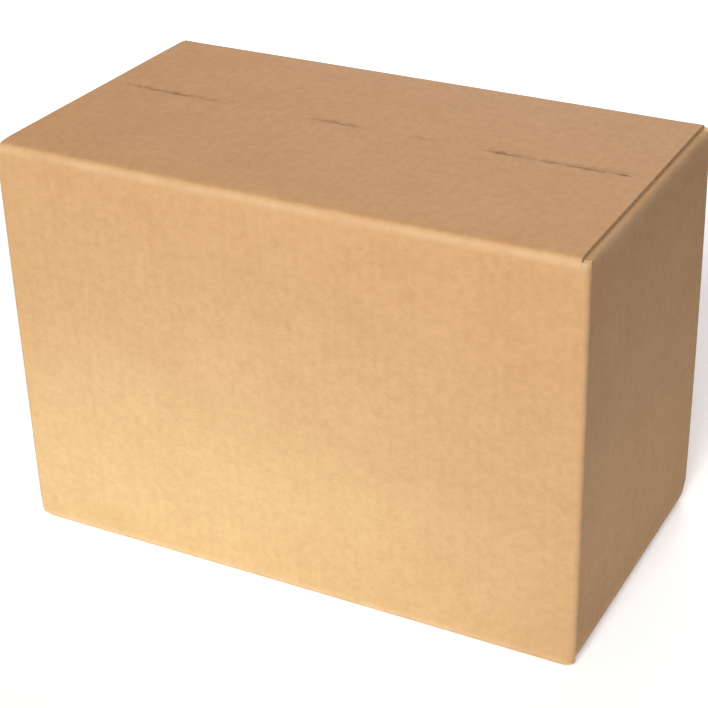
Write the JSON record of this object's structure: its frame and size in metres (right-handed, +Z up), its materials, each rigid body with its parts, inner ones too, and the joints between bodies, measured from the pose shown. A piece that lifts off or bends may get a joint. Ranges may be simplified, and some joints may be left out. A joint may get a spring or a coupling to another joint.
{
  "type": "closed cardboard box",
  "caption": "Closed rectangular kraft carton folded from corrugated board; its outer top flaps meet at a lengthwise seam and swing open over fixed end flaps, to pack and ship goods.",
  "frame": {"origin": "on the floor, in the middle of the base", "axes": "+X along the carton's length towards the right end wall, -Y out of the front wall, +Z up"},
  "size_m": [0.37, 0.2, 0.26],
  "materials": {
    "kraft_board": "matt brown kraft liner with faint fibres and flute lines"
  },
  "bodies": {
    "carton": {"carton": "kraft_board"},
    "front_top_flap": {"front_top_flap": "kraft_board"},
    "rear_top_flap": {"rear_top_flap": "kraft_board"}
  },
  "joints": [
    {"name": "front_flap_fold", "type": "hinge", "parent": "carton", "child": "front_top_flap", "pos_m": [0, -0.1, 0.26], "axis": [1, 0, 0], "range_deg": [0, 265]},
    {"name": "rear_flap_fold", "type": "hinge", "parent": "carton", "child": "rear_top_flap", "pos_m": [0, 0.1, 0.26], "axis": [-1, 0, 0], "range_deg": [0, 265]}
  ]
}
